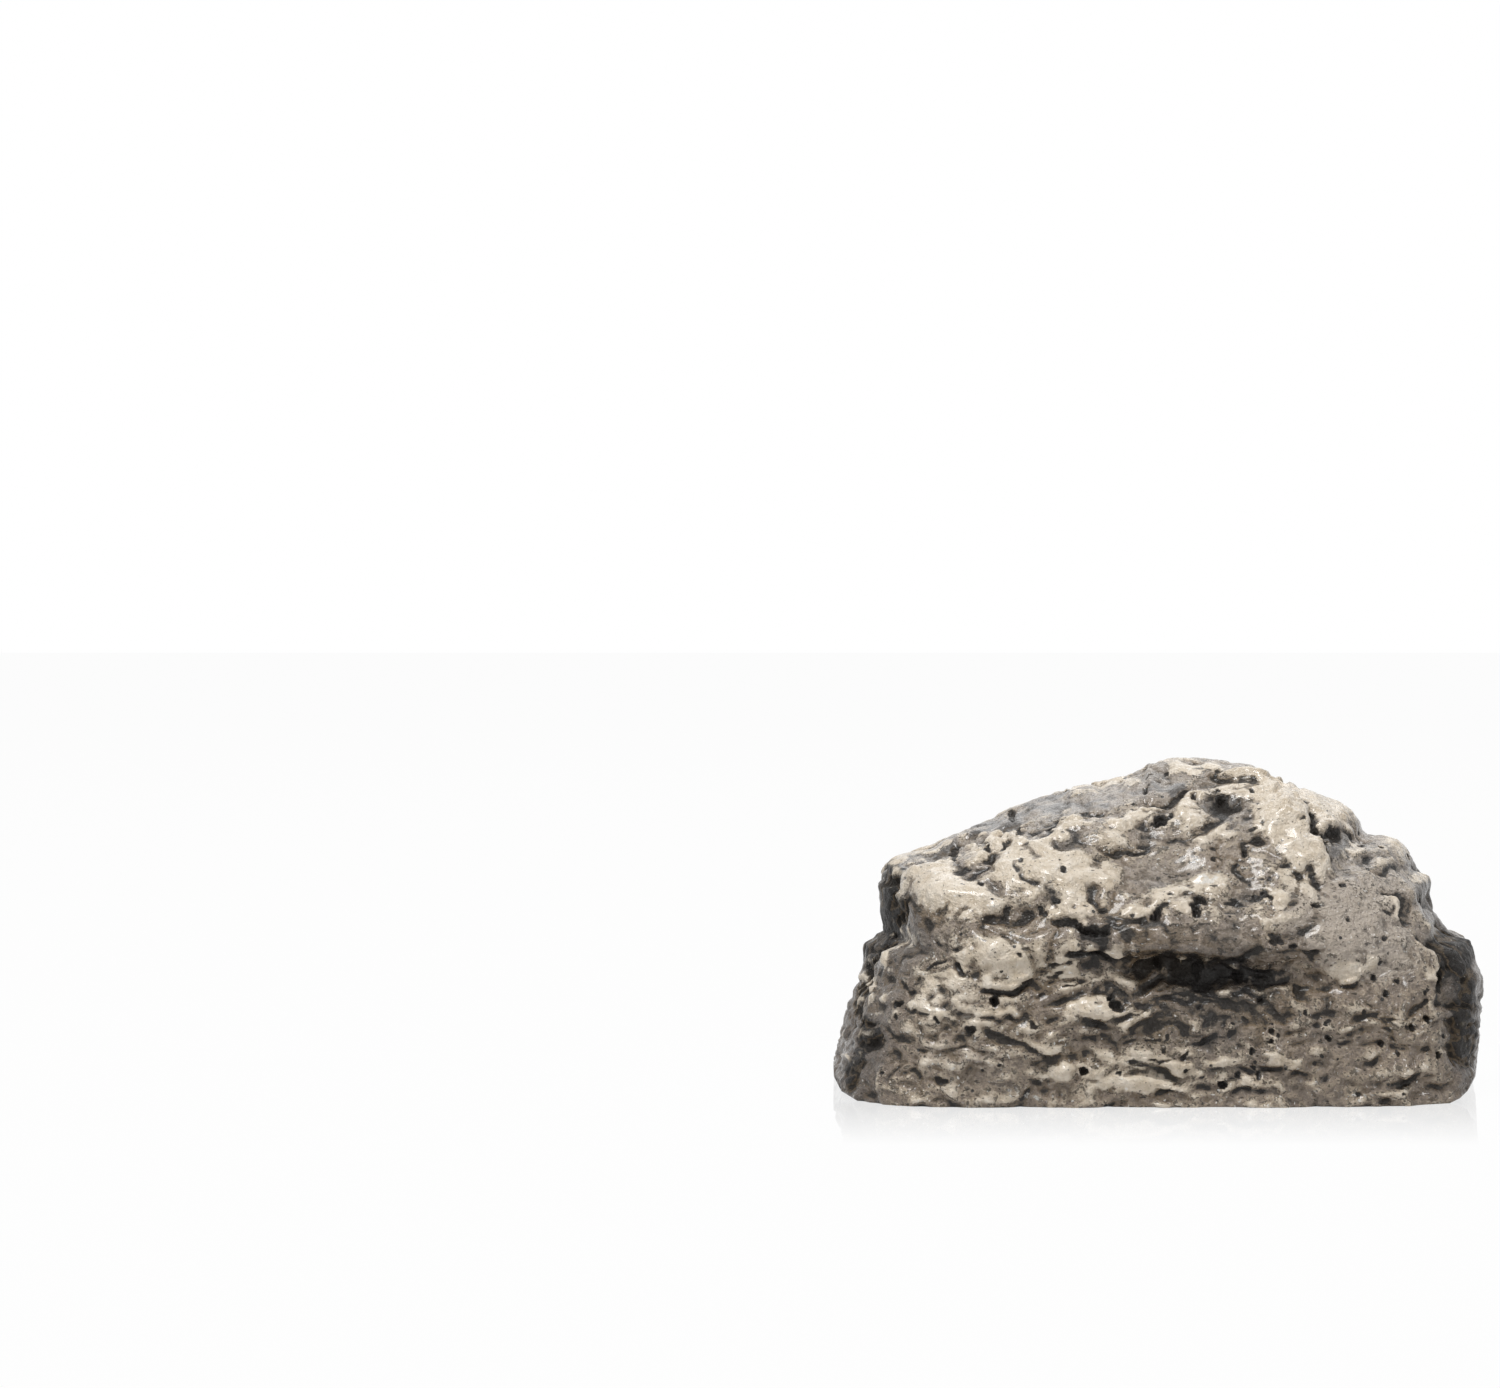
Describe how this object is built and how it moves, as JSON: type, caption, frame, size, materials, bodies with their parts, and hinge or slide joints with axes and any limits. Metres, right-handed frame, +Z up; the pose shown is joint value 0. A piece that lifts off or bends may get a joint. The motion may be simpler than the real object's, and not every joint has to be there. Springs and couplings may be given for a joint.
{
  "type": "hide a key rock",
  "caption": "Imitation stone with a sealed, hinged compartment in its underside that hides spare keys outdoors.",
  "frame": {"origin": "on the resting face, under the middle of the stone", "axes": "+X along the stone, to the right as seen from the front; -Y is the front; +Z is up"},
  "size_m": [0.0865, 0.051, 0.0435],
  "materials": {
    "cast_stone": "cast resin with a stone look, mottled cream, grey and dark grey, waxy with small glints",
    "case_plastic": "fine moulded texture, black",
    "lid_plastic": "fine moulded texture, black",
    "catch_plastic": "smooth moulded, dark grey",
    "pin_steel": "drawn wire",
    "screw_steel": "bright zinc plate",
    "seal_foam": "closed-cell foam",
    "lining_foam": "open-cell foam"
  },
  "bodies": {
    "stone": {"rock_shell": "cast_stone", "key_case": "case_plastic", "hinge_pin": "pin_steel", "lid_gasket": "seal_foam", "key_pad": "lining_foam", "case_screws": "screw_steel"},
    "lid": {"lid": "lid_plastic"},
    "catch": {"catch_slider": "catch_plastic"}
  },
  "joints": [
    {"name": "lid_hinge", "type": "hinge", "parent": "stone", "child": "lid", "pos_m": [0, 0.0168, 0.0019], "axis": [1, 0, 0], "range_deg": [0, 110]},
    {"name": "catch_slide", "type": "slide", "parent": "stone", "child": "catch", "axis": [0, 1, 0], "range_m": [0, 0.0018]}
  ]
}
